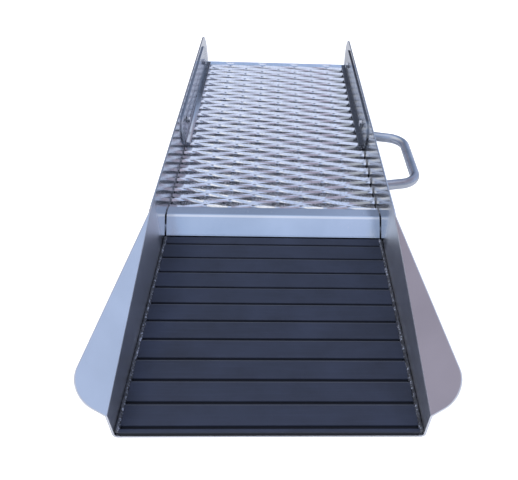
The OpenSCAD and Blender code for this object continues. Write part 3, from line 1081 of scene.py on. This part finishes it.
class SLUICE_OT_mesh(bpy.types.Operator):
    """Builds the expanded mesh: tilted strands that meet in knuckles"""
    bl_idname = "sluice.mesh"
    bl_label = "Riffle mesh"

    def execute(self, context):
        s = sizes("bed")
        middle = (MESH[0].z + MESH[1].z) / 2
        lean = Vector((0, cos(s.tilt), sin(s.tilt))) * s.strand
        piece = self.ribbon(s, middle, lean)
        columns = ceil(2 * MESH[1].x / s.long_way) + 2
        rows = ceil((MESH[1].y - MESH[0].y) / s.row / 2) + 2
        for count, step in ((2, (s.long_way / 2, s.row, 0)),
                            (columns, (s.long_way, 0, 0)), (rows, (0, 2 * s.row, 0))):
            repeat(piece, count, step, 0.00002)
        self.trim(piece, s)
        piece = join("expanded_mesh", piece, self.far_bar(s, middle, lean))
        thicken(piece, s.sheet, 0.0)
        # The highest and lowest edges are pressed into the mesh's own height
        shape(piece)
        press(2, MESH[1].z, 1)
        press(2, MESH[0].z, -1)
        done()
        soften(piece, 0.00022, 1, 50)
        smooth(piece, 16)
        material = mesh_metal("bright_mesh", sizes("finish").mesh)
        fit(piece, "mesh", "mesh", material, "riffle_mesh")
        return {"FINISHED"}

    def ribbon(self, s, middle, lean):
        """One wave of a strand, from a near knuckle to a far one and back."""
        first = at(0, 0, middle)
        first.y = MESH[0].y - 2 * s.row
        columns = ceil(MESH[1].x / s.long_way) + 1
        first.x = s.shift - columns * s.long_way
        sheet_of("expanded_mesh", first - Vector((s.knuckle / 2, 0, 0)),
                 first + Vector((s.knuckle / 2, s.strand, 0)))
        choose("VERT", lambda c, n: near(c.y, first.y + s.strand))
        shift(*(lean - Vector((0, s.strand, 0))))
        reach = s.long_way / 2 - s.knuckle
        rise = Vector((0, s.row, 0)) - lean
        edge = first.x + s.knuckle / 2
        self.grow(edge, reach, rise)
        edge += reach
        self.grow(edge, s.knuckle, Vector())
        centre = edge + s.knuckle / 2
        choose("FACE", lambda c, n: near(c.x, centre))
        bpy.ops.mesh.inset(thickness=s.knuckle * 0.12)
        bpy.ops.mesh.poke(offset=-s.knuckle * 0.17)
        edge += s.knuckle
        self.grow(edge, reach, -rise)
        return done()

    def far_bar(self, s, middle, lean):
        """The straight, uncut bar at the mesh's tail end."""
        inset = s.sheet / 20
        far = MESH[1].y - s.sheet / 2
        bar = sheet_of("far_bar", Vector((MESH[0].x + inset, far - s.bar, middle)),
                       Vector((MESH[1].x - inset, far, middle)))
        choose("VERT", lambda c, n: near(c.y, far))
        shift(z=lean.z)
        facing(bar, Vector((0, -1, 1)))
        return done()

    def grow(self, edge, run, rise):
        """Extrudes the ribbon's end by one step."""
        choose("EDGE", lambda c, d: near(c.x, edge, 0.00002) and abs(d.x) < 0.1)
        extrude(x=run, y=rise.y, z=rise.z)

    def trim(self, piece, s):
        """Cuts the mesh to the bed's size."""
        shape(piece)
        inset = s.sheet / 20
        cut((MESH[0].x + inset, 0, 0), (-1, 0, 0))
        cut((MESH[1].x - inset, 0, 0), (1, 0, 0))
        cut((0, MESH[0].y + s.sheet / 2, 0), (0, -1, 0))
        cut((0, MESH[1].y - s.sheet / 2, 0), (0, 1, 0))
        bpy.ops.mesh.select_all(action="SELECT")
        bpy.ops.mesh.remove_doubles(threshold=0.00003)
        facing(piece, Vector((0, -1, 1)))
        done()


class SLUICE_OT_strips(bpy.types.Operator):
    """Builds the two clamping strips with their slots"""
    bl_idname = "sluice.strips"
    bl_label = "Clamping strips"

    def execute(self, context):
        s = sizes("strip")
        low, high = STRIP
        tip = (high.z - low.z) / 2
        outer = high.x
        piece = sheet_of("strip_angle_right", Vector((outer, low.y, low.z)), high,
                         (0, pi / 2, 0))
        choose("VERT", lambda c, n: near(c.y, low.y))
        bevel(tip - CLEAR, 14, "VERTICES")
        choose("VERT", lambda c, n: near(c.y, high.y) and near(c.z, high.z))
        bevel(s.tail_corner, 12, "VERTICES")
        choose("EDGE", lambda c, d: near(c.z, low.z) and abs(d.y) > 0.999
               and c.y > low.y + 2 * tip)
        extrude(x=-s.flange)
        foot = low.y + tip
        choose("FACE", lambda c, n: abs(n.z) > 0.9)
        bpy.ops.mesh.bisect(plane_co=(outer - s.foot_width, foot, 0),
                            plane_no=(-s.foot_taper, s.foot_width - s.flange, 0),
                            clear_outer=True)
        choose("EDGE", lambda c, d: near(c.z, low.z) and near(c.x, outer)
               and abs(d.y) > 0.999 and c.y > low.y + 2 * tip)
        bevel(s.fold, 4)
        facing(piece, Vector((1, 0, 0)))
        done()
        thicken(piece, s.sheet)
        for place in PLACES:
            self.slot(piece, s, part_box(f"screw_{place}_right"))
        shape(piece)
        outwards(CLEAR)
        close_holes()
        done()
        soften(piece, 0.00025, 2, 55)
        shape(piece)
        outwards(0.00006)
        done()
        smooth(piece, 55)
        twin = mirrored(piece, "strip_angle_left")
        # Painted shade: the right strip is darker, most at its flange and less towards its
        # top
        material = sheet_metal(
            "strip_aluminium", sizes("finish").strip, 0.24,
            dull_and_painted_shade=lambda p: p.axis("X").step(0.0, CLEAR)
            * (0.95 - p.axis("Z").step(low.z + s.fold, high.z) * 0.6))
        fit(piece, "strip_right", "strip_sheet", material, "clamp_strip_right")
        fit(twin, "strip_left", "strip_sheet", material, "clamp_strip_left")
        return {"FINISHED"}

    def slot(self, piece, s, screw):
        """Cuts an upright slot for a screw."""
        y = (screw[0].y + screw[1].y) / 2
        z = (screw[0].z + screw[1].z) / 2
        radius = sizes("screw").shank / 2 + s.slot_play
        cutter = round_bar("slot_cutter", radius, Vector((STRIP[0].x, y, z)),
                           Vector((STRIP[1].x + 0.002, y, z)), 24)
        choose("VERT", lambda c, n: c.z < z - 0.00001)
        shift(z=-s.slot_lift)
        done()
        modify(piece, "BOOLEAN", object=cutter, operation="DIFFERENCE", solver="EXACT")
        delete(cutter)


class SLUICE_OT_screws(bpy.types.Operator):
    """Builds the four clamping screws with their washers and clinch nuts"""
    bl_idname = "sluice.screws"
    bl_label = "Screws"

    def execute(self, context):
        finish = sizes("finish")
        bright = steel("screw_steel", finish.steel, 0.16)
        dull_and_painted_shade = steel("washer_steel", shaded(finish.steel, 0.92), 0.26)
        plated = steel("nut_steel", shaded(finish.steel, 0.85), 0.3)
        screw, washer, nut = self.screw(), self.washer(), self.nut()
        nuts = {side: [] for side in SIDES}
        home = self.middle("front", "right")
        for place in PLACES:
            for side in SIDES:
                move = Vector((0, self.middle(place, side).y - home.y, 0))
                for model, name, slot, material in (
                        (screw, "screw", "screw", bright),
                        (washer, "washer", "washer", dull_and_painted_shade)):
                    node = f"{name}_{place}_{side}"
                    piece = self.copy_to(model, "made_" + node, move, side)
                    fit(piece, f"screw_{place}_{side}_body", slot, material, node)
                nuts[side].append(self.copy_to(nut, f"nut_{place}", move, side))
        for side in SIDES:
            piece = join(f"press_nuts_{side}", *nuts[side])
            fit(piece, "trough", "clinch_nut", plated, f"clinch_nuts_{side}")
        delete(screw, washer, nut)
        return {"FINISHED"}

    def middle(self, place, side):
        """The middle of a screw's box."""
        low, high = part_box(f"screw_{place}_{side}")
        return (low + high) / 2

    def copy_to(self, model, name, move, side):
        """A copy at its place along the trough and on its side."""
        piece = copy(model, name, move)
        if side == "right":
            return piece
        twin = mirrored(piece, name + "_twin")
        delete(piece)
        twin.name = name
        return take(twin)

    def screw(self):
        """A screw with a chamfered, dished hexagon head and a threaded shank."""
        s = sizes("screw")
        low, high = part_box("screw_front_right")
        middle = self.middle("front", "right")
        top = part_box("washer_front_right")[0].x
        spot = Vector((0, middle.y, middle.z))
        head = round_bar("head", s.head / 2 / cos(pi / 6),
                         spot + Vector((top, 0, 0)), spot + Vector((low.x, 0, 0)), 6)
        choose("FACE", lambda c, d: d.x < -0.9)
        for inset, move in ((s.head_rim, -CLEAR), (s.head_dish, s.dish_depth)):
            bpy.ops.mesh.inset(thickness=inset)
            shift(move)
        outwards()
        done()
        soften(head, 0.0005, 3, 25)
        shape(head)
        press(0, low.x, -1)
        done()
        shank = round_bar("shank", s.shank / 2, spot + Vector((top - 0.0002, 0, 0)),
                          spot + Vector((high.x, 0, 0)), 24)
        choose("EDGE", lambda c, d: abs(d.x) > 0.9)
        bpy.ops.mesh.subdivide(number_cuts=24)
        pitch = (high.x - top) / 25
        choose("VERT", lambda c, n: top < c.x < high.x - 0.0002
               and round((c.x - top) / pitch) % 2 == 0)
        bpy.ops.transform.resize(value=(1, 0.9, 0.9), center_override=spot)
        choose("EDGE", lambda c, d: near(c.x, high.x))
        bevel(0.0004, 1)
        outwards()
        done()
        smooth(shank, 35)
        return join("screw_model", head, shank)

    def washer(self):
        """A flat washer with rounded rims."""
        s = sizes("screw")
        low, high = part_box("washer_front_right")
        middle = (low + high) / 2
        piece = round_bar("washer_model", (high.z - low.z) / 2,
                          Vector((low.x, middle.y, middle.z)),
                          Vector((high.x, middle.y, middle.z)), 40)
        bore((high.z - low.z) / 2 - s.shank / 2 - PLAY)
        outwards()
        done()
        soften(piece, 0.00025, 2, 50)
        return piece

    def nut(self):
        """A round clinch nut: a boss in the wall and a flange outside it."""
        s = sizes("screw")
        low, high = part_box("clinch_nuts_right")
        middle = self.middle("front", "right")
        outer = sizes("trough").inner_width / 2 + sizes("trough").sheet
        radius = (high.z - low.z) / 2
        piece = round_bar("nut_model", radius, Vector((outer, middle.y, middle.z)),
                          Vector((high.x, middle.y, middle.z)), 48)
        bore(radius - s.shank / 2 - PLAY)
        done()
        soften(piece, 0.0005, 3, 50)
        boss = round_bar("boss", s.nut_boss / 2,
                         Vector((low.x - PLAY, middle.y, middle.z)),
                         Vector((outer + 0.001, middle.y, middle.z)), 32)
        bore((s.nut_boss - s.shank) / 2 - PLAY)
        outwards()
        done()
        soften(boss, 0.0002, 2, 50)
        return join("nut_model", piece, boss)


class SLUICE_OT_handle(bpy.types.Operator):
    """Builds the bent carry handle and the welds that hold it"""
    bl_idname = "sluice.handle"
    bl_label = "Carry handle"

    def execute(self, context):
        s = sizes("handle")
        t = sizes("trough")
        wall = t.inner_width / 2 + t.sheet
        turn = pi / 2 - s.lean
        tangent = s.bend * tan(turn / 2)
        corner = s.span / 2 - s.reach * tan(s.lean)
        # The legs start inside the wall, and are trimmed at its outer face
        spare = s.rod / 2
        leg = s.reach / cos(s.lean) - tangent + spare
        way = Vector((cos(s.lean), -sin(s.lean), 0))
        foot = at(wall, s.place + s.span / 2, s.height) - way * spare
        start()
        bpy.ops.mesh.primitive_circle_add(
            vertices=32, radius=s.rod / 2, location=foot, rotation=turned(way))
        piece = context.object
        piece.name = "grip_rod"
        shape(done())
        choose("EDGE", lambda c, d: True)
        extrude(*(way * leg))
        centre = at(wall + s.reach - s.bend, s.place + corner - tangent, s.height)
        self.bend(centre, turn)
        extrude(y=-2 * (corner - tangent))
        centre.y = at(0, s.place - corner + tangent, 0).y
        self.bend(centre, turn)
        extrude(-way.x * leg, way.y * leg)
        cut((wall + CLEAR, 0, 0), (-1, 0, 0), fill=True)
        close_holes()
        outwards()
        done()
        smooth(piece, 40)
        material = rod_metal("handle_aluminium", sizes("finish").rod)
        fit(piece, "trough", "handle_rod", material, "carry_handle")
        self.welds(s, wall)
        return {"FINISHED"}

    def bend(self, centre, turn):
        """Spins the rod's open end about a centre, towards the intake."""
        bpy.ops.mesh.spin(steps=14, angle=turn, center=centre, axis=(0, 0, 1))

    def welds(self, s, wall):
        """Lays a rippled bead round each end."""
        beads = []
        for side in (-1, 1):
            foot = at(wall, s.place + side * s.span / 2, s.height)
            start()
            bpy.ops.mesh.primitive_torus_add(
                major_segments=72, minor_segments=14, major_radius=s.rod / 2 + s.weld * 0.3,
                minor_radius=s.weld * 0.85, location=foot,
                rotation=(0, pi / 2, 0))
            bead = done()
            rough_up(bead, "CLOUDS", 0.0022, 0.0008)
            shape(bead)
            cut((wall, 0, 0), (-1, 0, 0), fill=True)
            outwards()
            beads.append(done())
        piece = join("weld_beads", *beads)
        smooth(piece, 50)
        material = weld_metal("weld_metal", sizes("finish").weld)
        fit(piece, "trough", "weld", material, "handle_welds")


STEPS = (SLUICE_OT_stage, SLUICE_OT_trough, SLUICE_OT_mat, SLUICE_OT_ramp,
         SLUICE_OT_moss, SLUICE_OT_mesh, SLUICE_OT_strips, SLUICE_OT_screws,
         SLUICE_OT_handle)


class SLUICE_PT_panel(bpy.types.Panel):
    """Lists the sluice box's pieces, sizes and colours"""
    bl_idname = "SLUICE_PT_panel"
    bl_label = "Sluice box"
    bl_space_type = "VIEW_3D"
    bl_region_type = "UI"
    bl_category = "Sluice"

    def draw(self, context):
        column = self.layout.column(align=True)
        for step in STEPS:
            column.operator(step.bl_idname, text=step.bl_label)
        for group, kind in GROUPS.items():
            box = self.layout.box()
            box.label(text=group.title())
            for name in kind.__annotations__:
                box.prop(getattr(context.scene, "sluice_" + group), name)


def register():
    for kind in (*GROUPS.values(), *STEPS, SLUICE_PT_panel):
        bpy.utils.register_class(kind)
    for group, kind in GROUPS.items():
        setattr(bpy.types.Scene, "sluice_" + group, PointerProperty(type=kind))


def unregister():
    for group in GROUPS:
        delattr(bpy.types.Scene, "sluice_" + group)
    for kind in reversed((*GROUPS.values(), *STEPS, SLUICE_PT_panel)):
        bpy.utils.unregister_class(kind)


def main():
    register()
    bpy.ops.sluice.stage()
    bpy.ops.sluice.trough()
    bpy.ops.sluice.mat()
    bpy.ops.sluice.ramp()
    bpy.ops.sluice.moss()
    bpy.ops.sluice.mesh()
    bpy.ops.sluice.strips()
    bpy.ops.sluice.screws()
    bpy.ops.sluice.handle()
    start()


if __name__ == "__main__":
    main()
